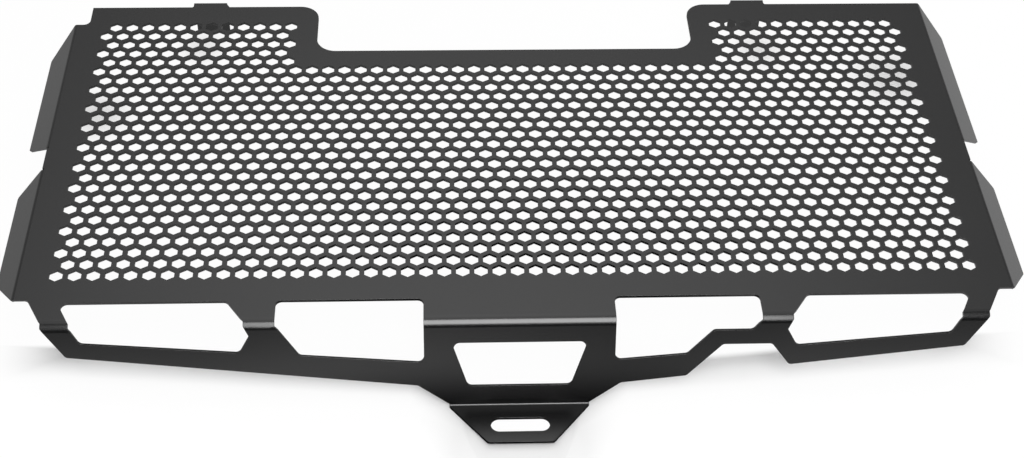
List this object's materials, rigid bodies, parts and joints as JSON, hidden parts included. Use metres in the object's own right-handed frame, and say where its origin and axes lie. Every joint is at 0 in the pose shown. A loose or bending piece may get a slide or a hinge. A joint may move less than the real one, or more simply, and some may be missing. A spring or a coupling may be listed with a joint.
{
  "type": "motorcycle radiator guard",
  "caption": "Folded sheet-metal guard with a hexagonal mesh, side flanges, hooked top clips and a slotted bottom tab, that shields a motorcycle's radiator core from stones.",
  "frame": {"origin": "centre of the bounding box's underside: the bottom tab's lower face lies at Z = 0", "axes": "+X to the right along the panel's width, +Y up the panel from the bottom tab to the top clips, +Z out of the panel's front face"},
  "size_m": [0.4286, 0.2418, 0.0381],
  "materials": {
    "powder_coat": "satin"
  },
  "bodies": {
    "root": {"upper_panel": "powder_coat", "lower_panel": "powder_coat", "lower_frame": "powder_coat"}
  },
  "joints": []
}
